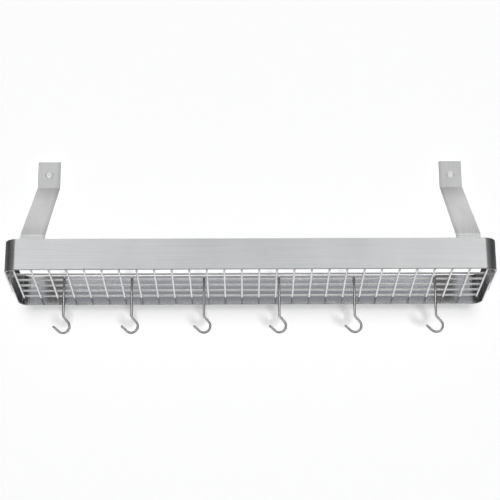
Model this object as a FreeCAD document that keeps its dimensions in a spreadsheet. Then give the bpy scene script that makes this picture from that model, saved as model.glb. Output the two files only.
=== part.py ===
"""Wall rack for pans and cookbooks, in millimetres.

A rim of flat stainless strip holds a grid of welded wires. Two bent straps carry the rim's front edge from
the wall, one screw fixes each strap, and loose hooks hang from one of the long wires.
The origin is on the wall, midway between the two wall screws: +X right, +Y into the wall, +Z up.
"""
import FreeCAD
import Part
import Sketcher
import math
import os

doc = FreeCAD.newDocument("pot_rack")

SIZES = (
    ("rack_width", 762, "outside of the rim, left to right"),
    ("rack_depth", 178, "wall to the rim's front face"),
    ("rack_height", 254, "rim's lower edge to the top of the wall pads"),
    ("rim_height", 50.8, "width of the rim's strip"),
    ("rim_gauge", 2, "thickness of the rim's strip"),
    ("rim_corner", 19, "outer radius of the rim's corners"),
    ("rim_lap", 38, "overlap of the rim's two halves at each end"),
    ("grid_wire", 3.2, "diameter of the grid's wires"),
    ("grid_rise", 6.3, "rim's lower edge to the cross wires' axes"),
    ("cross_count", 28, "number of cross wires"),
    ("cross_margin", 13.3, "end of the rim to the first cross wire's axis"),
    ("long_count", 6, "number of long wires"),
    ("long_margin", 22.5, "front of the rim to the first long wire's axis"),
    ("long_overhang", 3, "long wire's end past the axis of the outermost cross wire"),
    ("strap_inset", 43, "end of the rim to the middle of a strap"),
    ("strap_width", 38.1, "width of a strap"),
    ("strap_gauge", 3.2, "thickness of a strap"),
    ("strap_bend", 5, "inner radius of a strap's bends"),
    ("strap_corner", 1.5, "rounding of a strap's corners"),
    ("pad_height", 47, "top of a wall pad down to its bend"),
    ("leg_rise", 6, "rim's upper edge to a strap's lower bend"),
    ("leg_lap", 36, "strap's leg below the rim's upper edge"),
    ("screw_drop", 24.4, "top of a wall pad down to its screw"),
    ("screw_hole", 7.2, "diameter of the clearance hole in a wall pad"),
    ("screw_shank", 4.8, "diameter of a wall screw's plain shank"),
    ("screw_core", 3.6, "diameter of a wall screw below its thread"),
    ("screw_plain", 14, "plain shank behind the wall's face"),
    ("screw_reach", 44, "wall screw behind the wall's face"),
    ("screw_point", 7, "length of a wall screw's point"),
    ("screw_head", 12.6, "diameter of a wall screw's head"),
    ("screw_head_height", 4.2, "height of a wall screw's head"),
    ("screw_head_round", 3, "rounding of the head's rim"),
    ("recess_span", 5.8, "cross recess from tip to tip"),
    ("recess_slot", 1.3, "width of the cross recess's slots"),
    ("recess_depth", 2, "depth of the cross recess"),
    ("hook_wire", 3.8, "diameter of a hook's wire"),
    ("hook_length", 94.4, "top of a hook's curl to the bottom of its bowl"),
    ("curl_radius", 4.9, "curl over the long wire, to the middle of the hook's wire"),
    ("curl_clearance", 0.3, "between the long wire's top and the curl"),
    ("curl_return", 5, "straight end of the curl behind the long wire"),
    ("kink_radius", 4, "bend from the shank to the slanting run"),
    ("bowl_radius", 10.2, "bowl of a hook, to the middle of its wire"),
    ("bowl_shift", -0.1, "bowl's middle to the right of the shank"),
    ("run_lean", 39.5, "slanting run of a hook from the vertical, in degrees"),
    ("tail_lean", 47, "tail of a hook from the vertical, in degrees"),
    ("tail_length", 12.2, "straight end of a hook past its bowl"),
    ("tip_round", 1.4, "rounding of a hook's two ends"),
    ("hook_row", 3, "long wire that carries the hooks, counted from the front"),
    ("hook_1_cell", 3, "cell between cross wires, counted from the left"),
    ("hook_2_cell", 7, "cell between cross wires, counted from the left"),
    ("hook_3_cell", 11, "cell between cross wires, counted from the left"),
    ("hook_4_cell", 16, "cell between cross wires, counted from the left"),
    ("hook_5_cell", 20, "cell between cross wires, counted from the left"),
    ("hook_6_cell", 25, "cell between cross wires, counted from the left"),
    ("hook_1_place", 0.56, "place in its cell: -1 at the left wire, 1 at the right wire"),
    ("hook_2_place", 0.36, "place in its cell: -1 at the left wire, 1 at the right wire"),
    ("hook_3_place", 0.85, "place in its cell: -1 at the left wire, 1 at the right wire"),
    ("hook_4_place", -0.97, "place in its cell: -1 at the left wire, 1 at the right wire"),
    ("hook_5_place", 0.0, "place in its cell: -1 at the left wire, 1 at the right wire"),
    ("hook_6_place", -0.87, "place in its cell: -1 at the left wire, 1 at the right wire"),
    ("hook_gap", 0.4, "least space between a hook and a cross wire"),
)
HOOK_COUNT = 6

sheet = doc.addObject("Spreadsheet::Sheet", "Size")
for row, (alias, number, meaning) in enumerate(SIZES, start=1):
    sheet.set("A%d" % row, alias)
    sheet.set("B%d" % row, str(number))
    sheet.set("C%d" % row, meaning)
    sheet.setAlias("B%d" % row, alias)
doc.recompute()

# Places that several pieces share, as expressions on the sheet
RIM_BOTTOM = "(Size.screw_drop - Size.rack_height)"
RIM_TOP = "(Size.screw_drop - Size.rack_height + Size.rim_height)"
FRONT_INNER = "(Size.rim_gauge - Size.rack_depth)"
BACK_INNER = "(-Size.rim_gauge)"
CROSS_LEVEL = "(Size.screw_drop - Size.rack_height + Size.grid_rise)"
LONG_LEVEL = "(Size.screw_drop - Size.rack_height + Size.grid_rise + Size.grid_wire)"
CROSS_PITCH = "((Size.rack_width - 2 * Size.cross_margin) / (Size.cross_count - 1))"
LONG_PITCH = "((Size.rack_depth - 2 * Size.long_margin) / (Size.long_count - 1))"
CROSS_FIRST = "(Size.cross_margin - Size.rack_width / 2)"
LONG_FIRST = "(Size.long_margin - Size.rack_depth)"
LAP_FRONT = "(-Size.rack_depth / 2 - Size.rim_lap / 2)"
LAP_BACK = "(-Size.rack_depth / 2 + Size.rim_lap / 2)"
STRAP_REACH = "(Size.rack_width / 2 - Size.strap_inset)"

# Heights on a hook, from the axis of the long wire that carries it
CURL_CENTRE = "(Size.grid_wire / 2 + Size.curl_clearance + Size.hook_wire / 2 - Size.curl_radius)"
HOOK_BOTTOM = "(Size.grid_wire / 2 + Size.curl_clearance + Size.hook_wire - Size.hook_length)"
BOWL_CENTRE = "(%s + Size.hook_wire / 2 + Size.bowl_radius)" % HOOK_BOTTOM
SHANK_MIDDLE = "(%s + Size.hook_length / 2)" % HOOK_BOTTOM

pieces = []


def size(expression):
    """Value of an expression on the sheet."""
    return float(sheet.evalExpression(expression))


def new_body(label):
    """Body of one piece."""
    body = doc.addObject("PartDesign::Body", label)
    body.Label = label
    pieces.append(body)
    return body


def sketch_on(body, name, role, reach="0"):
    """Sketch on one of the body's own planes, moved along the plane's normal by reach."""
    plane = next(feature for feature in body.Origin.OriginFeatures if feature.Role == role)
    sketch = body.newObject("Sketcher::SketchObject", body.Label + "_" + name)
    sketch.AttachmentSupport = [(plane, "")]
    sketch.MapMode = "FlatFace"
    sketch.setExpression("AttachmentOffset.Base.z", reach)
    return sketch


def hold(sketch, expression, kind, *where):
    """Constraint whose value is an expression on the sheet."""
    index = sketch.addConstraint(Sketcher.Constraint(kind, *where, size(expression)))
    sketch.setExpression("Constraints[%d]" % index, expression)


def pin(sketch, geometry, end, across, up):
    """Ties a point of the sketch to its place from the sketch's origin."""
    hold(sketch, across, "DistanceX", -1, 1, geometry, end)
    hold(sketch, up, "DistanceY", -1, 1, geometry, end)


def polygon(sketch, corners):
    """Closed outline of straight lines, with each corner tied to the sheet."""
    points = [FreeCAD.Vector(size(across), size(up), 0) for across, up in corners]
    lines = [sketch.addGeometry(Part.LineSegment(start, end))
             for start, end in zip(points, points[1:] + points[:1])]
    for line, following, corner in zip(lines, lines[1:] + lines[:1], corners):
        sketch.addConstraint(Sketcher.Constraint("Coincident", line, 2, following, 1))
        pin(sketch, line, 1, *corner)


def chain(sketch, runs):
    """Lines and arcs end to end, each tangent to the one before. Gives their numbers in the sketch."""
    numbers = [sketch.addGeometry(run) for run in runs]
    for first, second in zip(numbers, numbers[1:]):
        shared = [(leaving, entering) for leaving in (1, 2) for entering in (1, 2)
                  if sketch.getPoint(first, leaving).isEqual(sketch.getPoint(second, entering), 1e-6)]
        leaving, entering = shared[0]
        sketch.addConstraint(Sketcher.Constraint("Tangent", first, leaving, second, entering))
    return numbers


def bent_path(sketch, corners, bend_radius):
    """Straight runs through the corners, with an arc of bend_radius at each bend."""
    points = [FreeCAD.Vector(size(across), size(up), 0) for across, up in corners]
    radius = size(bend_radius)
    runs = []
    start = points[0]
    for before, corner, after in zip(points, points[1:], points[2:]):
        back = (before - corner).normalize()
        ahead = (after - corner).normalize()
        half_angle = back.getAngle(ahead) / 2
        setback = radius / math.tan(half_angle)
        inward = (back + ahead).normalize()
        middle = corner + inward * (radius / math.sin(half_angle) - radius)
        runs.append(Part.LineSegment(start, corner + back * setback))
        start = corner + ahead * setback
        runs.append(Part.Arc(corner + back * setback, middle, start))
    runs.append(Part.LineSegment(start, points[-1]))
    numbers = chain(sketch, runs)
    pin(sketch, numbers[0], 1, *corners[0])
    pin(sketch, numbers[-1], 2, *corners[-1])
    for bend, corner, point in zip(numbers[1::2], corners[1:-1], points[1:-1]):
        hold(sketch, bend_radius, "Radius", bend)
        mark = sketch.addGeometry(Part.Point(point), True)
        pin(sketch, mark, 1, *corner)
        sketch.addConstraint(Sketcher.Constraint("PointOnObject", mark, 1, bend - 1))
        sketch.addConstraint(Sketcher.Constraint("PointOnObject", mark, 1, bend + 1))


def sweep(body, name, section, path):
    """Section carried along all of a path."""
    doc.recompute()
    pipe = body.newObject("PartDesign::AdditivePipe", body.Label + "_" + name)
    pipe.Profile = section
    pipe.Spine = (path, ["Edge%d" % (number + 1) for number in range(len(path.Shape.Edges))])
    doc.recompute()
    return pipe


def round_edges(body, feature, radius, is_chosen):
    """Rounds the edges of the body's last feature for which is_chosen is true."""
    chosen = ["Edge%d" % (number + 1) for number, edge in enumerate(feature.Shape.Edges) if is_chosen(edge)]
    fillet = body.newObject("PartDesign::Fillet", body.Label + "_rounding")
    fillet.Base = (feature, chosen)
    fillet.setExpression("Radius", radius)
    doc.recompute()
    return fillet


def cut(body, name, sketch, depth, reverse):
    """Pocket of the given depth, which has to take material away."""
    doc.recompute()
    volume_before = body.Shape.Volume
    pocket = body.newObject("PartDesign::Pocket", body.Label + "_" + name)
    pocket.Profile = sketch
    pocket.Type = 0
    pocket.Reversed = reverse
    pocket.setExpression("Length", depth)
    doc.recompute()
    if body.Shape.Volume >= volume_before:
        raise RuntimeError("%s cuts nothing from %s" % (name, body.Label))
    return pocket


def place(piece, across, depth, up):
    """Ties a piece's place to the sheet and keeps its turn."""
    for axis, expression in zip("xyz", (across, depth, up)):
        piece.setExpression("Placement.Base." + axis, expression)


def rim_half(label, inset, arm_end, run_level):
    """U of flat strip on edge: two arms and a run along the front or the back, with rounded corners."""
    body = new_body(label)
    outer = "(Size.rack_width / 2 - %s)" % inset
    middle = "(%s - Size.rim_gauge / 2)" % outer
    path = sketch_on(body, "path", "XY_Plane")
    bent_path(path, (("-" + middle, arm_end), ("-" + middle, run_level),
                     (middle, run_level), (middle, arm_end)),
              "Size.rim_corner - Size.rim_gauge / 2")
    section = sketch_on(body, "section", "XZ_Plane", "-" + arm_end)
    inner = "-%s + Size.rim_gauge" % outer
    polygon(section, (("-" + outer, RIM_BOTTOM), (inner, RIM_BOTTOM),
                      (inner, RIM_TOP), ("-" + outer, RIM_TOP)))
    sweep(body, "strip", section, path)


def corner_trim(across, straight_half):
    """How much sooner a cross wire's square end meets the rim where the rim has begun to turn."""
    past = "max(0; abs(%s) + Size.grid_wire / 2 - %s)" % (across, straight_half)
    bend = "(Size.rim_corner - Size.rim_gauge)"
    return "(%s - sqrt(%s ^ 2 - %s ^ 2))" % (bend, bend, past)


def grid_wire(label, length, turn_axis, turn_angle, across, depth, up):
    """Straight round wire with flat ends."""
    wire = doc.addObject("Part::Cylinder", label)
    wire.Label = label
    wire.setExpression("Radius", "Size.grid_wire / 2")
    wire.setExpression("Height", length)
    wire.Placement.Rotation = FreeCAD.Rotation(turn_axis, turn_angle)
    place(wire, across, depth, up)
    pieces.append(wire)


def strap(label, side):
    """Flat strap bent twice: a pad on the wall, a slanting run and a leg on the front band's inner face."""
    body = new_body(label)
    path = sketch_on(body, "path", "YZ_Plane")
    pad_line = "-Size.strap_gauge / 2"
    leg_line = "(%s + Size.strap_gauge / 2)" % FRONT_INNER
    leg_end = "(%s - Size.leg_lap)" % RIM_TOP
    bent_path(path, ((pad_line, "Size.screw_drop"), (pad_line, "Size.screw_drop - Size.pad_height"),
                     (leg_line, RIM_TOP + " + Size.leg_rise"), (leg_line, leg_end)),
              "Size.strap_bend + Size.strap_gauge / 2")
    section = sketch_on(body, "section", "XY_Plane", "Size.screw_drop")
    edge = "Size.strap_width / 2"
    polygon(section, (("-" + edge, "-Size.strap_gauge"), (edge, "-Size.strap_gauge"),
                      (edge, "0"), ("-" + edge, "0")))
    bar = sweep(body, "bar", section, path)
    ends = (size("Size.screw_drop"), size(leg_end))
    gauge = size("Size.strap_gauge")

    def is_end_corner(edge_of_bar):
        middle = edge_of_bar.CenterOfMass
        at_end = min(abs(middle.z - end) for end in ends) < 1e-6
        return at_end and abs(edge_of_bar.Length - gauge) < 1e-6

    round_edges(body, bar, "Size.strap_corner", is_end_corner)
    hole = sketch_on(body, "hole", "XZ_Plane")
    circle = hole.addGeometry(Part.Circle(FreeCAD.Vector(), FreeCAD.Vector(0, 0, 1),
                                          size("Size.screw_hole") / 2))
    hole.addConstraint(Sketcher.Constraint("Coincident", circle, 3, -1, 1))
    hold(hole, "Size.screw_hole / 2", "Radius", circle)
    cut(body, "screw_hole", hole, "Size.strap_gauge", True)
    place(body, "%d * %s" % (side, STRAP_REACH), "0", "0")


def wall_screw(label, side):
    """Pan-head screw whose head bears on the wall pad, with a cross recess and a point."""
    body = new_body(label)
    outline = sketch_on(body, "outline", "YZ_Plane")
    bearing = "-Size.strap_gauge"
    top = "(-Size.strap_gauge - Size.screw_head_height)"
    shank = "Size.screw_shank / 2"
    core = "Size.screw_core / 2"
    neck = "Size.screw_plain + Size.screw_shank / 2 - Size.screw_core / 2"
    polygon(outline, ((top, "0"), (top, "Size.screw_head / 2"), (bearing, "Size.screw_head / 2"),
                      (bearing, shank), ("Size.screw_plain", shank), (neck, core),
                      ("Size.screw_reach - Size.screw_point", core), ("Size.screw_reach", "0")))
    doc.recompute()
    turned = body.newObject("PartDesign::Revolution", label + "_turned")
    turned.Profile = outline
    turned.ReferenceAxis = (outline, ["H_Axis"])
    turned.Angle = 360
    doc.recompute()
    head_top = size(top)
    round_edges(body, turned, "Size.screw_head_round",
                lambda edge: abs(edge.CenterOfMass.y - head_top) < 1e-6)
    recess = sketch_on(body, "recess", "XZ_Plane", "-" + top)
    tip = "Size.recess_span / 2"
    slot = "Size.recess_slot / 2"
    arms = ((tip, slot), (slot, slot), (slot, tip))
    quarters = [arms, [("-" + up, across) for across, up in arms],
                [("-" + across, "-" + up) for across, up in arms],
                [(up, "-" + across) for across, up in arms]]
    polygon(recess, [corner for quarter in quarters for corner in quarter])
    cut(body, "cross_recess", recess, "Size.recess_depth", False)
    place(body, "%d * %s" % (side, STRAP_REACH), "0", "0")


def curl_path(sketch):
    """Up the shank, over the long wire in a half turn, and down behind it."""
    radius = size("Size.curl_radius")
    level = size(CURL_CENTRE)
    shank_top = FreeCAD.Vector(-radius, level, 0)
    return_top = FreeCAD.Vector(radius, level, 0)
    runs = (Part.LineSegment(FreeCAD.Vector(-radius, size(SHANK_MIDDLE), 0), shank_top),
            Part.Arc(shank_top, FreeCAD.Vector(0, level + radius, 0), return_top),
            Part.LineSegment(return_top, FreeCAD.Vector(radius, level - size("Size.curl_return"), 0)))
    shank, curl, end = chain(sketch, runs)
    pin(sketch, shank, 1, "-Size.curl_radius", SHANK_MIDDLE)
    pin(sketch, end, 2, "Size.curl_radius", CURL_CENTRE + " - Size.curl_return")
    sketch.addConstraint(Sketcher.Constraint("Vertical", shank))
    hold(sketch, "Size.curl_radius", "Radius", curl)
    hold(sketch, CURL_CENTRE, "DistanceY", -1, 1, curl, 3)


def bowl_path(sketch):
    """Down the shank, through a kink, along a slanting run, round the bowl and up the tail."""
    lean = math.radians(size("Size.run_lean"))
    tail_lean = math.radians(size("Size.tail_lean"))
    centre = FreeCAD.Vector(size("Size.bowl_shift"), size(BOWL_CENTRE), 0)
    to_run = FreeCAD.Vector(math.cos(lean), math.sin(lean), 0)
    down_run = FreeCAD.Vector(math.sin(lean), -math.cos(lean), 0)
    to_tail = FreeCAD.Vector(-math.cos(tail_lean), -math.sin(tail_lean), 0)
    up_tail = FreeCAD.Vector(-math.sin(tail_lean), math.cos(tail_lean), 0)
    bowl_radius = size("Size.bowl_radius")
    run_end = centre + to_run * bowl_radius
    tail_start = centre + to_tail * bowl_radius
    kink_corner = run_end - down_run * (run_end.x / math.sin(lean))
    kink_radius = size("Size.kink_radius")
    setback = kink_radius * math.tan(lean / 2)
    kink_start = kink_corner + FreeCAD.Vector(0, setback, 0)
    kink_middle = kink_start + FreeCAD.Vector(kink_radius * (1 - math.cos(lean / 2)),
                                              -kink_radius * math.sin(lean / 2), 0)
    run_start = kink_corner + down_run * setback
    runs = (Part.LineSegment(FreeCAD.Vector(0, size(SHANK_MIDDLE), 0), kink_start),
            Part.Arc(kink_start, kink_middle, run_start),
            Part.LineSegment(run_start, run_end),
            Part.Arc(run_end, centre + down_run * bowl_radius, tail_start),
            Part.LineSegment(tail_start, tail_start + up_tail * size("Size.tail_length")))
    shank, kink, run, bowl, tail = chain(sketch, runs)
    pin(sketch, shank, 1, "0", SHANK_MIDDLE)
    sketch.addConstraint(Sketcher.Constraint("Vertical", shank))
    hold(sketch, "Size.kink_radius", "Radius", kink)
    hold(sketch, "Size.bowl_radius", "Radius", bowl)
    pin(sketch, bowl, 3, "Size.bowl_shift", BOWL_CENTRE)
    slant = sketch.addConstraint(Sketcher.Constraint("Angle", run, lean - math.pi / 2))
    sketch.setExpression("Constraints[%d]" % slant, "Size.run_lean - 90")
    rise = sketch.addConstraint(Sketcher.Constraint("Angle", tail, tail_lean + math.pi / 2))
    sketch.setExpression("Constraints[%d]" % rise, "Size.tail_lean + 90")
    hold(sketch, "Size.tail_length", "Distance", tail)


def hook(label, number):
    """Loose hook of round wire, hung so that its centre of mass is below the long wire's axis."""
    body = new_body(label)
    curl = sketch_on(body, "curl_path", "YZ_Plane")
    curl_path(curl)
    bowl = sketch_on(body, "bowl_path", "XZ_Plane", "Size.curl_radius")
    bowl_path(bowl)
    section = sketch_on(body, "section", "XY_Plane", SHANK_MIDDLE)
    circle = section.addGeometry(Part.Circle(FreeCAD.Vector(0, -size("Size.curl_radius"), 0),
                                             FreeCAD.Vector(0, 0, 1), size("Size.hook_wire") / 2))
    pin(section, circle, 3, "0", "-Size.curl_radius")
    hold(section, "Size.hook_wire / 2", "Radius", circle)
    sweep(body, "curl", section, curl)
    wire = sweep(body, "bowl", section, bowl)
    tips = [path.Placement.multVec(path.getPoint(last, 2)) for path, last in ((curl, 2), (bowl, 4))]

    def is_tip_edge(edge):
        middle = edge.CenterOfMass
        return min(middle.distanceToPoint(tip) for tip in tips) < 1e-4

    round_edges(body, wire, "Size.tip_round", is_tip_edge)
    centre = body.Shape.CenterOfGravity
    hang = math.degrees(math.atan2(-centre.y, -centre.z))
    body.Placement.Rotation = FreeCAD.Rotation(FreeCAD.Vector(1, 0, 0), hang)
    room = "(%s / 2 - Size.grid_wire / 2 - Size.hook_wire / 2 - Size.hook_gap)" % CROSS_PITCH
    across = "%s + (Size.hook_%d_cell - 0.5) * %s + Size.hook_%d_place * %s" % (
        CROSS_FIRST, number, CROSS_PITCH, number, room)
    depth = "%s + (Size.hook_row - 1) * %s" % (LONG_FIRST, LONG_PITCH)
    place(body, across, depth, LONG_LEVEL)


# The rim: the back half's arms lie inside the front half's arms and lap them at the middle of each end
rim_half("front_band", "0", LAP_BACK, "(Size.rim_gauge / 2 - Size.rack_depth)")
rim_half("back_band", "Size.rim_gauge", LAP_FRONT, "(-Size.rim_gauge / 2)")

# The grid: cross wires run from face to face inside the rim, and the long wires lie on them
for number in range(1, int(size("Size.cross_count")) + 1):
    across = "(%s + %d * %s)" % (CROSS_FIRST, number - 1, CROSS_PITCH)
    front_end = "(%s + %s)" % (FRONT_INNER, corner_trim(across, "(Size.rack_width / 2 - Size.rim_corner)"))
    back_trim = corner_trim(across, "(Size.rack_width / 2 - Size.rim_gauge - Size.rim_corner)")
    grid_wire("cross_wire_%02d" % number, "%s - %s - %s" % (BACK_INNER, back_trim, front_end),
              FreeCAD.Vector(1, 0, 0), -90, across, front_end, CROSS_LEVEL)
for number in range(1, int(size("Size.long_count")) + 1):
    grid_wire("long_wire_%d" % number, "Size.rack_width - 2 * Size.cross_margin + 2 * Size.long_overhang",
              FreeCAD.Vector(0, 1, 0), 90, CROSS_FIRST + " - Size.long_overhang",
              "%s + %d * %s" % (LONG_FIRST, number - 1, LONG_PITCH), LONG_LEVEL)

# The straps and their wall screws
for name, side in (("left", -1), ("right", 1)):
    strap(name + "_strap", side)
    wall_screw(name + "_wall_screw", side)

# The hooks
for number in range(1, HOOK_COUNT + 1):
    hook("hook_%d" % number, number)

doc.recompute()
for thing in doc.Objects:
    if "Invalid" in thing.State or "Error" in thing.State:
        raise RuntimeError("%s failed: %s" % (thing.Label, thing.State))
for piece in pieces:
    if piece.Shape.isNull() or not piece.Shape.isValid() or len(piece.Shape.Solids) != 1:
        raise RuntimeError("%s is not one valid solid" % piece.Label)

os.makedirs("parts", exist_ok=True)
for piece in pieces:
    piece.Shape.exportStep("parts/%s.step" % piece.Label)
print("%d pieces written" % len(pieces))
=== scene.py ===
"""Looks of a wall rack for pans and cookbooks: steel rim, wire grid, two straps, their screws and six hooks.

The sections follow the rack as it is put together, then come the wall, the floor, the light and the camera.
Lengths are in metres. The origin is on the wall, midway between the screws: +X right, +Y into it, +Z up.
"""
import math

import bmesh
import bpy
from mathutils import Matrix, Vector


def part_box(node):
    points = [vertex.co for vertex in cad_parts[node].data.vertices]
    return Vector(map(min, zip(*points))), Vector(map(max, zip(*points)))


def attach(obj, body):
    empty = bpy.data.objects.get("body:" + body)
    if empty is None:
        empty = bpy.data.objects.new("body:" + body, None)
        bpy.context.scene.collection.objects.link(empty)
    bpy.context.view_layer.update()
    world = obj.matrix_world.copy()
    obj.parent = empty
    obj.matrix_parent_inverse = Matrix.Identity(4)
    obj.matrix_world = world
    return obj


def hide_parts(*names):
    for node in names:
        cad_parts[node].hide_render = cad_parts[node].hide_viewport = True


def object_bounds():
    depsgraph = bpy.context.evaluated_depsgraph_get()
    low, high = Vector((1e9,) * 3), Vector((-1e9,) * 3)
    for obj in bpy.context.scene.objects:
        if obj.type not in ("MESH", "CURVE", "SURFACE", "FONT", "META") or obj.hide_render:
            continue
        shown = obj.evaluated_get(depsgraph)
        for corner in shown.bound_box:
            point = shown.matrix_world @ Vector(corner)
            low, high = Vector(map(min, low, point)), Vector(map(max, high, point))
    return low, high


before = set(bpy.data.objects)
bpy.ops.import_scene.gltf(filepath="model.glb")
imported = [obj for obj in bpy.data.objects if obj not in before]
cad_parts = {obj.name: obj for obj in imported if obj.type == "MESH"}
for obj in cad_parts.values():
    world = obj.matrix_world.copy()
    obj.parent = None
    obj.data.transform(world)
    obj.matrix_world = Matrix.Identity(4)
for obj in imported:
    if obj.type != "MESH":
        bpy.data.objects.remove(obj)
cad_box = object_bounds()


# The rim is two halves of flat stainless strip, each bent on edge to a U, brushed along their length.
# The back half's arms lie inside the front half's and are welded there. The strip's edges are eased.
STRIP_GAUGE = 0.002
STRIP_CORNER = 0.019
STRIP_EASE = 0.0006
EASE_STEPS = 3
BEND_STEPS = 18
SHARP_TURN = math.radians(50)
BROAD_FACE_WEIGHT = 100

# How the brushing shows: its lines, the cloudy changes of tone and the faces that it missed,
# and the shade painted along the front strip's lower edge
BLACK = (0.0, 0.0, 0.0, 1.0)
LINE_SHARE = 0.7
LINE_DULLING = 0.16
CLOUD_SCALE = 14.0
CLOUD_DULLING = 0.1
TONE_SPREAD = (0.3, 0.7)
BRUSH_DEPTH = 0.0003
BRUSH_TURN = 0.25
MILL_COLOUR = (0.74, 0.74, 0.745, 1.0)
MILL_FLATNESS = 0.7
EDGE_PAINTED_SHADE = 0.6
EDGE_FADE = (0.0004, 0.0014)
FRONT_FADE = (0.004, 0.008)


class Signal:
    """One socket of a node tree. Sums and products of signals add Math nodes."""

    def __init__(self, finish, socket):
        self.finish = finish
        self.socket = socket

    def math(self, operation, first, second):
        return self.finish.node("ShaderNodeMath", {"operation": operation}, {0: first, 1: second})

    def __add__(self, other):
        return self.math("ADD", self, other)

    def __sub__(self, other):
        return self.math("SUBTRACT", self, other)

    def __rsub__(self, other):
        return self.math("SUBTRACT", other, self)

    def __mul__(self, other):
        return self.math("MULTIPLY", self, other)

    __radd__ = __add__
    __rmul__ = __mul__


class Finish:
    """The node tree of a material or of the world's light."""

    def __init__(self, owner):
        owner.use_nodes = True
        self.owner = owner
        self.tree = owner.node_tree
        self.tree.nodes.clear()

    def node(self, kind, settings, inputs, output=0):
        """Adds a node: its settings first, then the values or links of its sockets. Gives one output."""
        made = self.tree.nodes.new(kind)
        for name, value in settings.items():
            setattr(made, name, value)
        for name, value in inputs.items():
            if isinstance(value, Signal):
                self.tree.links.new(value.socket, made.inputs[name])
            else:
                made.inputs[name].default_value = value
        return Signal(self, made.outputs[output]) if made.outputs else None

    def way(self, letter, measure="Object"):
        """X, Y or Z of a place on the rack or, measured as Generated, of a heading into the studio."""
        place = self.node("ShaderNodeTexCoord", {}, {}, measure)
        return self.node("ShaderNodeSeparateXYZ", {}, {"Vector": place}, letter)

    def sideways(self, measure="Object"):
        """How far X is from the middle plane of the rack, to either side."""
        return self.node("ShaderNodeMath", {"operation": "ABSOLUTE"}, {0: self.way("X", measure)})

    def ramp(self, signal, low, high):
        """Goes smoothly from 0 where the signal is low to 1 where it is high."""
        return self.node("ShaderNodeMapRange", {"interpolation_type": "SMOOTHSTEP"},
                         {"Value": signal, "From Min": low, "From Max": high})

    def mix(self, share, first, second):
        """Colour between two colours."""
        return self.node("ShaderNodeMix", {"data_type": "RGBA"}, {0: share, 6: first, 7: second}, 2)


def brushed_steel(name, dark, light, grain, roughness, relief, anisotropy=0.0, mill_roughness=None,
                  painted_shade=None, metallic=1.0):
    """Stainless steel with fine brushed lines. grain is how often they change along X, Y and Z, per metre.

    With a mill_roughness, the points whose mill_face is 1 keep the smoother finish of the rolling mill.
    The painted shade function gives how much colour is lost from place to place: light and shade painted
    into it.
    """
    finish = Finish(bpy.data.materials.new(name))
    place = finish.node("ShaderNodeTexCoord", {}, {}, "Object")
    along = finish.node("ShaderNodeMapping", {}, {"Vector": place, "Scale": grain})
    lines = finish.node("ShaderNodeTexNoise", {},
                        {"Vector": along, "Scale": 1.0, "Detail": 4.0, "Roughness": 0.7})
    clouds = finish.node("ShaderNodeTexNoise", {}, {"Vector": place, "Scale": CLOUD_SCALE, "Detail": 3.0})
    tone = finish.ramp(lines * LINE_SHARE + clouds * (1.0 - LINE_SHARE), *TONE_SPREAD)
    colour = finish.mix(tone, (*dark, 1.0), (*light, 1.0))
    dullness = roughness + (lines - 0.5) * LINE_DULLING + (clouds - 0.5) * CLOUD_DULLING
    # Light and shade painted into the colour, where a function for it is given
    if painted_shade:
        colour = finish.mix(painted_shade(finish), colour, BLACK)
    height = lines
    if mill_roughness is not None:
        mill = finish.node("ShaderNodeAttribute", {"attribute_name": "mill_face"}, {}, "Fac")
        dullness = dullness + mill * (mill_roughness - roughness)
        colour = finish.mix(mill, colour, MILL_COLOUR)
        height = lines * (1.0 - mill * MILL_FLATNESS)
    bump = finish.node("ShaderNodeBump", {}, {"Height": height, "Strength": relief, "Distance": BRUSH_DEPTH})
    surface = finish.node("ShaderNodeBsdfPrincipled", {}, {
        "Base Color": colour, "Metallic": metallic, "Roughness": dullness, "Normal": bump,
        "Anisotropic": anisotropy, "Anisotropic Rotation": BRUSH_TURN})
    finish.node("ShaderNodeOutputMaterial", {}, {"Surface": surface})
    return finish.owner


def eased_outline(half_across, half_up, ease):
    """Section of a flat bar with eased edges, about its middle."""
    outline = []
    for across, up, first_turn in ((1, 1, 0), (-1, 1, 90), (-1, -1, 180), (1, -1, 270)):
        for step in range(EASE_STEPS + 1):
            turn = math.radians(first_turn + 90 * step / EASE_STEPS)
            outline.append((across * (half_across - ease) + ease * math.cos(turn),
                            up * (half_up - ease) + ease * math.sin(turn)))
    return outline


def bent_line(corners, radius):
    """Points and directions along straight runs through the corners, with an arc at each bend."""
    stations = [(corners[0], (corners[1] - corners[0]).normalized())]
    for before, corner, after in zip(corners, corners[1:], corners[2:]):
        arriving = (corner - before).normalized()
        leaving = (after - corner).normalized()
        turn = arriving.angle(leaving)
        axis = arriving.cross(leaving).normalized()
        start = corner - arriving * radius * math.tan(turn / 2)
        centre = start + axis.cross(arriving) * radius
        for step in range(BEND_STEPS + 1):
            rotation = Matrix.Rotation(turn * step / BEND_STEPS, 3, axis)
            stations.append((centre + rotation @ (start - centre), rotation @ arriving))
    stations.append((corners[-1], stations[-1][1]))
    return stations


def add_piece(name, shape, material):
    """Turns a bmesh into an object with smooth faces and sharp edges where it turns hard."""
    mesh = bpy.data.meshes.new(name)
    bmesh.ops.recalc_face_normals(shape, faces=shape.faces)
    shape.to_mesh(mesh)
    shape.free()
    mesh.shade_smooth()
    mesh.set_sharp_from_angle(angle=SHARP_TURN)
    mesh.materials.append(material)
    piece = bpy.data.objects.new(name, mesh)
    bpy.context.scene.collection.objects.link(piece)
    return piece


def settle(piece):
    """Replaces a piece's mesh by what its modifiers make of it, and removes them."""
    evaluated = piece.evaluated_get(bpy.context.evaluated_depsgraph_get())
    piece.data = bpy.data.meshes.new_from_object(evaluated)
    piece.modifiers.clear()
    piece.data.name = piece.name


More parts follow.
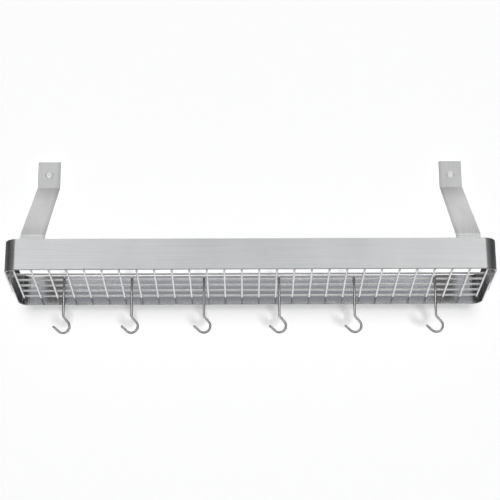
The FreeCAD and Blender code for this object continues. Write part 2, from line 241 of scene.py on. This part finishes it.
def swept_bar(name, rings, material, mill_face=None):
    """Closed bar through rings of points, with a flat cap at each end and broad faces that shade flat.

    mill_face holds 1 for each point of a ring that keeps the mill's finish, and 0 for the others.
    """
    shape = bmesh.new()
    loops = [[shape.verts.new(point) for point in ring] for ring in rings]
    for loop, following in zip(loops, loops[1:]):
        for number in range(len(loop)):
            beside = (number + 1) % len(loop)
            shape.faces.new((loop[number], loop[beside], following[beside], following[number]))
    shape.faces.new(loops[0])
    shape.faces.new(loops[-1])
    piece = add_piece(name, shape, material)
    if mill_face:
        marks = piece.data.attributes.new("mill_face", "FLOAT", "POINT")
        marks.data.foreach_set("value", mill_face * len(rings))
    weighted = piece.modifiers.new("flat_faces", "WEIGHTED_NORMAL")
    weighted.weight = BROAD_FACE_WEIGHT
    weighted.keep_sharp = True
    return piece


rim_low, rim_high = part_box("front_band")


def rim_painted_shade(finish):
    """Painted shade: the front strip is darker along its lower edge."""
    edge = 1.0 - finish.ramp(finish.way("Z") - rim_low.z, *EDGE_FADE)
    return edge * (1.0 - finish.ramp(finish.way("Y") - rim_low.y, *FRONT_FADE)) * EDGE_PAINTED_SHADE


rim_steel = brushed_steel(
    "rim_steel", dark=(0.56, 0.575, 0.585), light=(0.70, 0.70, 0.695), grain=(5.0, 5.0, 1500.0),
    roughness=0.37, relief=0.14, anisotropy=0.85, mill_roughness=0.16, painted_shade=rim_painted_shade)


def rim_half(name, node, run_is_low):
    """One U of strip on edge, in the place of the frame's node."""
    low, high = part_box(node)
    middle = (low.z + high.z) / 2
    left = low.x + STRIP_GAUGE / 2
    right = high.x - STRIP_GAUGE / 2
    run = low.y + STRIP_GAUGE / 2 if run_is_low else high.y - STRIP_GAUGE / 2
    arm_end = high.y if run_is_low else low.y
    bends = ((left, arm_end), (left, run), (right, run), (right, arm_end))
    corners = [Vector((x, y, middle)) for x, y in bends]
    outline = eased_outline(STRIP_GAUGE / 2, (high.z - low.z) / 2, STRIP_EASE)
    up = Vector((0, 0, 1))
    rings = []
    for place, direction in bent_line(corners, STRIP_CORNER - STRIP_GAUGE / 2):
        across = direction.cross(up)
        rings.append([place + across * out + up * rise for out, rise in outline])
    inside = -1 if run_is_low else 1
    mill_face = [1.0 if out * inside > 0 else 0.0 for out, _ in outline]
    piece = swept_bar(name, rings, rim_steel, mill_face)
    settle(piece)
    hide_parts(node)
    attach(piece, "rack")


rim_half("front_rim", "front_band", True)
rim_half("back_rim", "back_band", False)


# The grid is drawn stainless wire, cut to length: cross wires from the front to the back of the rim, and
# long wires lying on them. Each crossing and each end of a cross wire is resistance welded, and a little
# metal is pushed out there. Shade is painted into the colour of the cross wires' ends, next to the rim,
# and of the two long wires nearest the front.
CROSSING_WELD = (0.0019, 0.0019, 0.0011)
CROSSING_SEED = 3
END_WELD = (0.0018, 0.0007, 0.0018)
END_SEED = 5
SPOT_LEAST_SCALE = 0.85
LUMP_ROUNDNESS = 2
# Painted shade: how much colour the wires lose, and where, near the front and the back of the rim
FRONT_PAINTED_SHADE = 0.42
FRONT_PAINTED_SHADE_FADE = (0.019, 0.026)
BACK_PAINTED_SHADE = 0.9
BACK_PAINTED_SHADE_FADE = (-0.026, -0.021)
LONG_WIRE_PAINTED_SHADE = 0.22
LONG_WIRE_FADE = (0.052, 0.062)

wire_low, wire_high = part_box("cross_wire_14")


def cross_wire_painted_shade(finish):
    """Painted shade: the cross wires are darker at their back ends and, less so, at their front ends."""
    front = 1.0 - finish.ramp(finish.way("Y") - wire_low.y, *FRONT_PAINTED_SHADE_FADE)
    back = finish.ramp(finish.way("Y") - wire_high.y, *BACK_PAINTED_SHADE_FADE)
    return front * FRONT_PAINTED_SHADE + back * BACK_PAINTED_SHADE


def long_wire_painted_shade(finish):
    """Painted shade: the two long wires nearest the front are darker."""
    return (1.0 - finish.ramp(finish.way("Y") - wire_low.y, *LONG_WIRE_FADE)) * LONG_WIRE_PAINTED_SHADE


drawn_finish = {"dark": (0.68, 0.685, 0.69), "light": (0.80, 0.80, 0.795), "grain": (60.0, 60.0, 300.0),
                "roughness": 0.25, "relief": 0.03}
wire_steel = brushed_steel("wire_steel", painted_shade=long_wire_painted_shade, **drawn_finish)
cross_steel = brushed_steel("cross_steel", painted_shade=cross_wire_painted_shade, **drawn_finish)
cross_wires = sorted(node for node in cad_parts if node.startswith("cross_wire"))
long_wires = sorted(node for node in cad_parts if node.startswith("long_wire"))


def dress(node, material):
    """Gives a node of the frame its finish."""
    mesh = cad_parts[node].data
    mesh.materials.clear()
    mesh.materials.append(material)


for wire in cross_wires:
    dress(wire, cross_steel)
for wire in long_wires:
    dress(wire, wire_steel)


def weld_tree():
    """A lump of weld metal on each point, each a little different in size."""
    tree = bpy.data.node_groups.new("weld_spots", "GeometryNodeTree")
    sockets = {}
    for name, kind in (("Points", "Geometry"), ("Half Size", "Vector"), ("Least Scale", "Float"),
                       ("Seed", "Int"), ("Metal", "Material")):
        socket = tree.interface.new_socket(name, in_out="INPUT", socket_type="NodeSocket" + kind)
        sockets[name] = socket.identifier
    tree.interface.new_socket("Welds", in_out="OUTPUT", socket_type="NodeSocketGeometry")

    def node(kind, **links):
        made = tree.nodes.new(kind)
        for name, source in links.items():
            tree.links.new(source, made.inputs[name.replace("_", " ")])
        return made

    given = node("NodeGroupInput").outputs
    lump = node("GeometryNodeMeshIcoSphere")
    lump.inputs["Radius"].default_value = 1.0
    lump.inputs["Subdivisions"].default_value = LUMP_ROUNDNESS
    # The random value's sockets for plain numbers are its third input, the least, and its second output
    shrink = node("FunctionNodeRandomValue", Seed=given["Seed"])
    tree.links.new(given["Least Scale"], shrink.inputs[2])
    spread = node("ShaderNodeVectorMath", Vector=given["Half Size"])
    spread.operation = "SCALE"
    tree.links.new(shrink.outputs[1], spread.inputs["Scale"])
    placed = node("GeometryNodeInstanceOnPoints", Points=given["Points"], Instance=lump.outputs["Mesh"],
                  Scale=spread.outputs["Vector"])
    real = node("GeometryNodeRealizeInstances", Geometry=placed.outputs["Instances"])
    smooth = node("GeometryNodeSetShadeSmooth", Geometry=real.outputs["Geometry"])
    painted = node("GeometryNodeSetMaterial", Geometry=smooth.outputs["Geometry"], Material=given["Metal"])
    tree.links.new(painted.outputs["Geometry"], node("NodeGroupOutput").inputs["Welds"])
    return tree, sockets


weld_group, weld_sockets = weld_tree()


def weld_spots(name, points, half_size, least_scale, seed, material):
    """One piece with a weld at each of the points."""
    shape = bmesh.new()
    for point in points:
        shape.verts.new(point)
    piece = add_piece(name, shape, material)
    grower = piece.modifiers.new("welds", "NODES")
    grower.node_group = weld_group
    grower[weld_sockets["Half Size"]] = half_size
    grower[weld_sockets["Least Scale"]] = least_scale
    grower[weld_sockets["Seed"]] = seed
    grower[weld_sockets["Metal"]] = material
    settle(piece)
    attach(piece, "rack")


crossings = []
wire_ends = []
for wire in cross_wires:
    cross_low, cross_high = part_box(wire)
    middle = (cross_low + cross_high) / 2
    for other in long_wires:
        long_low, long_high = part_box(other)
        crossings.append(Vector((middle.x, (long_low.y + long_high.y) / 2, (cross_high.z + long_low.z) / 2)))
    wire_ends.append(Vector((middle.x, cross_low.y, middle.z)))
    wire_ends.append(Vector((middle.x, cross_high.y, middle.z)))
weld_spots("crossing_welds", crossings, CROSSING_WELD, SPOT_LEAST_SCALE, CROSSING_SEED, wire_steel)
weld_spots("wire_end_welds", wire_ends, END_WELD, SPOT_LEAST_SCALE, END_SEED, wire_steel)


# Two straps of thicker stainless bar carry the rim's front edge: a pad on the wall, a slanting run and a leg
# that is welded to the inside of the rim. Each is sheared, bent twice in a press brake and satin finished.
STRAP_GAUGE = 0.0032
STRAP_BEND = 0.005
STRAP_EASE = 0.0006
STRAP_CORNER = 0.0015
CORNER_STEPS = 4
PAD_HEIGHT = 0.047
LEG_RISE = 0.006
HOLE_RADIUS = 0.0036
HOLE_SIDES = 40
DRILL_LENGTH = 4 * STRAP_GAUGE
LEG_BEAD = (0.0016, 0.0012, 0.0022)
BEAD_START = 0.004
BEAD_STEP = 0.0017
BEAD_REACH = 0.026
BEAD_LEAST_SCALE = 0.8
BEAD_SEED = 7

# Painted light and shade on the straps: how much of their colour is lost or won back,
# and the heights or widths over which that changes
RUN_DARK = 0.165
BEND_PAINTED_SHADE = 0.10
INNER_PAINTED_SHADE = 0.16
PAD_PAINTED_LIGHT = 0.03
LEG_PAINTED_HIGHLIGHT = 0.15
PAD_FADE = (-0.027, -0.022)
LEG_FADE = (-0.1725, -0.1695)
RUN_TOP_FADE = (-0.075, -0.035)
RUN_FOOT_FADE = (-0.168, -0.13)
INNER_FADE = (0.0, 0.008)

strap_low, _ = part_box("right_strap")


def strap_painted_light_and_shade(finish):
    """Painted highlight on the leg, light on the pad, and shade near the run's bends and the inner edge."""
    height = finish.way("Z")
    pad = finish.ramp(height, *PAD_FADE)
    leg = 1.0 - finish.ramp(height, *LEG_FADE)
    top = finish.ramp(height, *RUN_TOP_FADE) - pad
    foot = 1.0 - finish.ramp(height, *RUN_FOOT_FADE) - leg
    inner = 1.0 - finish.ramp(finish.sideways() - strap_low.x, *INNER_FADE)
    return RUN_DARK + inner * INNER_PAINTED_SHADE + (top + foot) * BEND_PAINTED_SHADE - pad * PAD_PAINTED_LIGHT - leg * LEG_PAINTED_HIGHLIGHT


strap_steel = brushed_steel(
    "strap_steel", dark=(0.755, 0.76, 0.76), light=(0.905, 0.905, 0.90), grain=(900.0, 14.0, 14.0),
    roughness=0.46, relief=0.12, anisotropy=0.3, mill_roughness=0.24, painted_shade=strap_painted_light_and_shade)


def rounded_end(stations, at_start):
    """Stations at one end of a strap, each with what its rounded corners take off either edge."""
    place, direction = stations[0] if at_start else stations[-1]
    inward = direction if at_start else -direction
    ends = []
    for step in range(CORNER_STEPS):
        turn = math.pi / 2 * step / CORNER_STEPS
        ends.append((place + inward * STRAP_CORNER * (1 - math.cos(turn)), direction,
                     STRAP_CORNER * (1 - math.sin(turn))))
    return ends if at_start else ends[::-1]


def strap(side):
    """One strap in the place of the frame's node, with the hole for its screw and its leg's welds."""
    node = side + "_strap"
    low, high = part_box(node)
    middle = (low.x + high.x) / 2
    pad_line = high.y - STRAP_GAUGE / 2
    leg_line = low.y + STRAP_GAUGE / 2
    bends = ((pad_line, high.z), (pad_line, high.z - PAD_HEIGHT),
             (leg_line, rim_high.z + LEG_RISE), (leg_line, low.z))
    corners = [Vector((middle, y, z)) for y, z in bends]
    stations = bent_line(corners, STRAP_BEND + STRAP_GAUGE / 2)
    trimmed = [(place, direction, 0.0) for place, direction in stations[1:-1]]
    trimmed = rounded_end(stations, True) + trimmed + rounded_end(stations, False)
    across = Vector((1, 0, 0))
    rings = []
    for place, direction, trim in trimmed:
        outline = eased_outline((high.x - low.x) / 2 - trim, STRAP_GAUGE / 2, STRAP_EASE)
        out = across.cross(direction)
        rings.append([place + across * along + out * rise for along, rise in outline])
    mill_face = [1.0 if rise > 0 else 0.0 for _, rise in outline]
    piece = swept_bar("%s_bracket" % side, rings, strap_steel, mill_face)
    drill = bmesh.new()
    drill_place = Matrix.Translation((middle, pad_line, 0)) @ Matrix.Rotation(math.pi / 2, 4, "X")
    bmesh.ops.create_cone(drill, cap_ends=True, segments=HOLE_SIDES, radius1=HOLE_RADIUS,
                          radius2=HOLE_RADIUS, depth=DRILL_LENGTH, matrix=drill_place)
    drill_bit = add_piece("drill", drill, strap_steel)
    drilled = piece.modifiers.new("screw_hole", "BOOLEAN")
    drilled.object = drill_bit
    # The hole is cut before the broad faces are made to shade flat
    piece.modifiers.move(1, 0)
    settle(piece)
    bpy.data.objects.remove(drill_bit)
    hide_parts(node)
    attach(piece, "rack")
    bead = []
    for edge in (low.x, high.x):
        for step in range(int(BEAD_REACH / BEAD_STEP)):
            bead.append(Vector((edge, low.y, low.z + BEAD_START + step * BEAD_STEP)))
    weld_spots("%s_leg_welds" % side, bead, LEG_BEAD, BEAD_LEAST_SCALE, BEAD_SEED, strap_steel)


strap("left")
strap("right")


# One plated pan-head screw with a dull shine fixes each strap: a domed head with a cross recess, a plain
# shank through the pad, then a rolled thread and a gimlet point in the wall.
HEAD_RADIUS = 0.0063
HEAD_HEIGHT = 0.0042
HEAD_ROUND = 0.0030
HEAD_EDGE = 0.0003
HEAD_STEPS = 8
SHANK_RADIUS = 0.0024
CORE_RADIUS = 0.0018
PLAIN_REACH = 0.014
POINT_LENGTH = 0.007
THREAD_PITCH = 0.0026
THREAD_WIDTH = 0.3
SCREW_SIDES = 40
STEPS_PER_TURN = 14
SCREW_SHARP_TURN = math.radians(35)
RECESS_SPAN = 0.0058
RECESS_SLOT = 0.0013
RECESS_DEPTH = 0.0022
RECESS_TAPER = 0.45
RECESS_LEAST = 0.8 * RECESS_SLOT

screw_steel = brushed_steel(
    "screw_steel", dark=(0.94, 0.94, 0.94), light=(0.98, 0.98, 0.98), grain=(700.0, 700.0, 700.0),
    roughness=0.40, relief=0.01, metallic=0.4)


def screw_profile(head_top, tip):
    """The screw from its head's top to its tip, as (depth, radius, height of the thread)."""
    profile = []
    for step in range(HEAD_STEPS + 1):
        turn = math.pi / 2 * step / HEAD_STEPS
        profile.append((head_top + HEAD_ROUND * (1 - math.cos(turn)),
                        HEAD_RADIUS - HEAD_ROUND * (1 - math.sin(turn)), 0.0))
    bearing = head_top + HEAD_HEIGHT
    profile += [(bearing - HEAD_EDGE, HEAD_RADIUS, 0.0), (bearing, HEAD_RADIUS - HEAD_EDGE, 0.0),
                (bearing, SHANK_RADIUS + HEAD_EDGE, 0.0), (bearing + HEAD_EDGE, SHANK_RADIUS, 0.0),
                (PLAIN_REACH, SHANK_RADIUS, 0.0)]
    start = PLAIN_REACH + SHANK_RADIUS - CORE_RADIUS
    steps = int((tip - start) / THREAD_PITCH * STEPS_PER_TURN)
    for step in range(steps):
        depth = start + (tip - start) * step / steps
        taper = min(1.0, (tip - depth) / POINT_LENGTH)
        grown = min(1.0, step / STEPS_PER_TURN)
        thread = (SHANK_RADIUS - CORE_RADIUS) * grown * math.sqrt(taper)
        profile.append((depth, CORE_RADIUS * taper, thread))
    return profile


def thread_share(depth, turn):
    """Height of the thread's ridge, 0 to 1, at a depth and a turn about the screw."""
    phase = (depth / THREAD_PITCH - turn / (2 * math.pi)) % 1.0
    return max(0.0, 1.0 - abs(phase - 0.5) / THREAD_WIDTH)


def wall_screw(side):
    """One screw in the place of the frame's node."""
    node = side + "_wall_screw"
    low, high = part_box(node)
    middle = (low + high) / 2
    rings = []
    for depth, radius, thread in screw_profile(low.y, high.y):
        ring = []
        for number in range(SCREW_SIDES):
            turn = 2 * math.pi * number / SCREW_SIDES
            reach = radius + thread * thread_share(depth, turn)
            across = reach * math.cos(turn)
            up = reach * math.sin(turn)
            ring.append(Vector((middle.x + across, depth, middle.z + up)))
        rings.append(ring)
    piece = swept_bar("%s_screw" % side, rings, screw_steel)
    cutters = []
    for span_x, span_z in ((RECESS_SPAN, RECESS_SLOT), (RECESS_SLOT, RECESS_SPAN)):
        shape = bmesh.new()
        bmesh.ops.create_cube(shape, size=1.0)
        for corner in shape.verts:
            deep = corner.co.y > 0
            narrow = RECESS_TAPER if deep else 1.0
            corner.co = Vector((middle.x + corner.co.x * max(span_x * narrow, RECESS_LEAST),
                                low.y + (RECESS_DEPTH if deep else -RECESS_DEPTH),
                                middle.z + corner.co.z * max(span_z * narrow, RECESS_LEAST)))
        cutter = add_piece("recess_%d" % len(cutters), shape, screw_steel)
        cutters.append(cutter)
        recess = piece.modifiers.new("recess", "BOOLEAN")
        recess.object = cutter
    settle(piece)
    for cutter in cutters:
        bpy.data.objects.remove(cutter)
    piece.data.set_sharp_from_angle(angle=SCREW_SHARP_TURN)
    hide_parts(node)
    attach(piece, "rack")


wall_screw("left")
wall_screw("right")


# The hooks are bent from polished stainless wire: a curl over the grid's third long wire, a straight shank,
# a kink and an open bowl with a short tail. Nothing fixes them, so each swings on its wire.
# Painted shade on the bowl: how much of its colour is lost, and the heights over which that begins
BOWL_PAINTED_SHADE = 0.26
BOWL_FADE = (-0.287, -0.279)


def hook_painted_shade(finish):
    """Painted shade: the bowl is darker than the shank."""
    return (1.0 - finish.ramp(finish.way("Z"), *BOWL_FADE)) * BOWL_PAINTED_SHADE


hook_steel = brushed_steel(
    "hook_steel", dark=(0.42, 0.425, 0.425), light=(0.53, 0.53, 0.525), grain=(400.0, 400.0, 120.0),
    roughness=0.20, relief=0.04, painted_shade=hook_painted_shade)
hooks = sorted(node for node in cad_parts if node.startswith("hook_"))
for hook in hooks:
    dress(hook, hook_steel)


# The stage is a white wall behind the rack and a pale floor far below it. Both show from their front alone,
# so that the rack can also be seen from behind and from underneath. Metal mirrors the wall bright above and
# below the rim, grey behind it and dark elsewhere.
WALL_GAP = 0.004
STAGE_REACH = 6.0
FLOOR_DROP = 1.6
WALL_PAINT = (0.98, 0.98, 0.98)
WALL_GLOW = 0.285
FLOOR_PAINT = (0.85, 0.85, 0.84)
FLOOR_GLOW = 0.6

# The nook below the rim, where the wall is in shade
NOOK_REACH = 0.047
NOOK_SAMPLES = 8
NOOK_DARK = 0.84
NOOK_TOP_FADE = (-0.236, -0.216)
NOOK_SIDE_FADE = (0.35, 0.39)

# What metal mirrors of the wall and the floor, by height, by distance to the side and by distance in front
WALL_DARK = 0.03
WALL_BRIGHT = 0.92
WALL_GREY = 0.5
ABOVE_FADE = (-0.15, -0.05)
ABOVE_SIDE_FADE = (0.47, 0.52)
BELOW_FADE = (-0.55, -0.42)
RIM_FOOT_FADE = (-0.232, -0.230)
RIM_TOP_FADE = (-0.178, -0.172)
RIM_SIDE_FADE = (0.38, 0.39)
FLOOR_DARK = 0.08
FLOOR_BRIGHT = 0.85
FLOOR_FADE = (0.45, 1.0)


def stage_sheet(name, corners, paint, glow, mirrored_level):
    """Flat sheet of the stage that shows, and keeps shadows, on its front side only.

    mirrored_level gives how bright metal mirrors the sheet from place to place.
    """
    finish = Finish(bpy.data.materials.new(name))
    colour = (*paint, 1.0)
    behind = finish.node("ShaderNodeNewGeometry", {}, {}, "Backfacing")
    rays = finish.node("ShaderNodeLightPath", {}, {}, "Is Glossy Ray")
    nook = finish.node("ShaderNodeAmbientOcclusion", {"samples": NOOK_SAMPLES},
                       {"Distance": NOOK_REACH}, "AO")
    beneath = 1.0 - finish.ramp(finish.way("Z"), *NOOK_TOP_FADE)
    beneath = beneath * (1.0 - finish.ramp(finish.sideways(), *NOOK_SIDE_FADE))
    shaded = finish.mix((1.0 - nook * nook) * beneath * NOOK_DARK, colour, BLACK)
    matt = finish.node("ShaderNodeBsdfDiffuse", {}, {"Color": shaded})
    light = finish.node("ShaderNodeEmission", {}, {"Color": shaded, "Strength": glow})
    lit = finish.node("ShaderNodeAddShader", {}, {0: matt, 1: light})
    mirrored = finish.node("ShaderNodeEmission", {}, {"Color": colour, "Strength": mirrored_level(finish)})
    shown = finish.node("ShaderNodeMixShader", {}, {0: rays, 1: lit, 2: mirrored})
    clear = finish.node("ShaderNodeBsdfTransparent", {}, {})
    sided = finish.node("ShaderNodeMixShader", {}, {0: behind, 1: shown, 2: clear})
    finish.node("ShaderNodeOutputMaterial", {}, {"Surface": sided})
    mesh = bpy.data.meshes.new(name)
    mesh.from_pydata(corners, [], [range(len(corners))])
    mesh.materials.append(finish.owner)
    sheet = bpy.data.objects.new(name, mesh)
    bpy.context.scene.collection.objects.link(sheet)
    sheet.visible_shadow = False
    sheet.visible_diffuse = False


def wall_level(finish):
    """Bright above the rim and just below it, grey behind it, dark past its ends and at the foot."""
    height = finish.way("Z")
    sideways = finish.sideways()
    over_foot = finish.ramp(height, *RIM_FOOT_FADE)
    above = finish.ramp(height, *ABOVE_FADE) * (1.0 - finish.ramp(sideways, *ABOVE_SIDE_FADE))
    below = finish.ramp(height, *BELOW_FADE) * (1.0 - over_foot)
    beside = over_foot * (1.0 - finish.ramp(height, *RIM_TOP_FADE))
    beside = beside * (1.0 - finish.ramp(sideways, *RIM_SIDE_FADE))
    return WALL_DARK + (above + below) * WALL_BRIGHT + beside * WALL_GREY


def floor_level(finish):
    """Dark under the rack, pale further out in front."""
    return FLOOR_DARK + finish.ramp(finish.way("Y") * -1.0, *FLOOR_FADE) * FLOOR_BRIGHT


floor_height = cad_box[0].z - FLOOR_DROP
stage_sheet("wall", [(-STAGE_REACH, WALL_GAP, floor_height), (STAGE_REACH, WALL_GAP, floor_height),
                     (STAGE_REACH, WALL_GAP, STAGE_REACH), (-STAGE_REACH, WALL_GAP, STAGE_REACH)],
            WALL_PAINT, WALL_GLOW, wall_level)
stage_sheet("floor", [(-STAGE_REACH, -STAGE_REACH, floor_height), (STAGE_REACH, -STAGE_REACH, floor_height),
                      (STAGE_REACH, WALL_GAP, floor_height), (-STAGE_REACH, WALL_GAP, floor_height)],
            FLOOR_PAINT, FLOOR_GLOW, floor_level)


# The light is that of a small white studio: a bright strip in front, pale overhead and below, dim at both
# sides. A distant lamp, low in front and a little to the right, lights the wall. Only the hooks cast its
# shadow, and the metal mirrors the studio and not the lamp.
STRIP_MIDDLE = 1.45
STRIP_BRIGHT = 4.25
STRIP_MIDDLE_FADE = (0.02, 0.16)
STRIP_FOOT_FADE = (-0.22, -0.1)
STRIP_TOP_FADE = (0.13, 0.2)
STUDIO_DIM = 0.34
STUDIO_SIDE = 0.05
STUDIO_SIDE_FADE = (0.26, 0.40)
STUDIO_TOP = 1.2
STUDIO_TOP_FADE = (0.68, 0.84)
STUDIO_BELOW = 0.6
STUDIO_BELOW_FADE = (0.3, 0.5)
STUDIO_SEEN = 0.97
STUDIO_SPILL = 0.10
WARM_TINT = (1.0, 1.0, 0.99, 1.0)
COOL_TINT = (0.93, 0.96, 1.06, 1.0)
COOL_TOP_FADE = (0.45, 0.65)
KEY_STRENGTH = 2.1
KEY_SPREAD = math.radians(7.0)
KEY_HEADING = (-0.12, 1.0, 0.45)

studio = bpy.data.worlds.new("studio")
bpy.context.scene.world = studio
sky = Finish(studio)
upwards = sky.way("Z", "Generated")
sideways = sky.sideways("Generated")
strip = STRIP_MIDDLE + sky.ramp(sideways, *STRIP_MIDDLE_FADE) * (STRIP_BRIGHT - STRIP_MIDDLE)
in_strip = sky.ramp(upwards, *STRIP_FOOT_FADE) * (1.0 - sky.ramp(upwards, *STRIP_TOP_FADE))
level = STUDIO_DIM + (strip - STUDIO_DIM) * in_strip
level = level + (STUDIO_SIDE - level) * sky.ramp(sideways, *STUDIO_SIDE_FADE)
level = level + (STUDIO_TOP - level) * sky.ramp(upwards, *STUDIO_TOP_FADE)
level = level + (STUDIO_BELOW - level) * sky.ramp(upwards * -1.0, *STUDIO_BELOW_FADE)
seen = sky.node("ShaderNodeLightPath", {}, {}, "Is Camera Ray")
spilt = sky.node("ShaderNodeLightPath", {}, {}, "Is Diffuse Ray")
strength = level + (STUDIO_SEEN - level) * seen
strength = strength + (STUDIO_SPILL - strength) * spilt
cool = (1.0 - in_strip) * (1.0 - sky.ramp(upwards, *COOL_TOP_FADE))
tint = sky.mix(cool, WARM_TINT, COOL_TINT)
background = sky.node("ShaderNodeBackground", {}, {"Color": tint, "Strength": strength})
sky.node("ShaderNodeOutputWorld", {}, {"Surface": background})

key_light = bpy.data.lights.new("key_light", "SUN")
key_light.energy = KEY_STRENGTH
key_light.angle = KEY_SPREAD
key_lamp = bpy.data.objects.new("key_light", key_light)
key_lamp.rotation_euler = Vector(KEY_HEADING).to_track_quat("-Z", "Y").to_euler()
key_lamp.visible_glossy = False
key_lamp.light_linking.blocker_collection = bpy.data.collections.new("shadow_casters")
for hook in hooks:
    key_lamp.light_linking.blocker_collection.objects.link(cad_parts[hook])
bpy.context.scene.collection.objects.link(key_lamp)


# The camera stands in front of the rack, a metre below it, and looks up through the grid.
# Its place, lens and turns are those at which the rack's edges fall as they do in the photograph.
CAMERA_PLACE = (-0.00866, -2.53717, -1.05827)
CAMERA_LENS = 117.126
CAMERA_PITCH = 20.0267
CAMERA_YAW = -0.1887
CAMERA_ROLL = -0.2463

camera = bpy.data.objects.new("camera", bpy.data.cameras.new("camera"))
camera.data.lens = CAMERA_LENS
camera.matrix_world = (Matrix.Translation(CAMERA_PLACE) @ Matrix.Rotation(math.radians(CAMERA_YAW), 4, "Z")
                       @ Matrix.Rotation(math.radians(90 + CAMERA_PITCH), 4, "X")
                       @ Matrix.Rotation(math.radians(CAMERA_ROLL), 4, "Z"))
bpy.context.scene.collection.objects.link(camera)
bpy.context.scene.camera = camera
bpy.context.scene.view_settings.view_transform = "Standard"
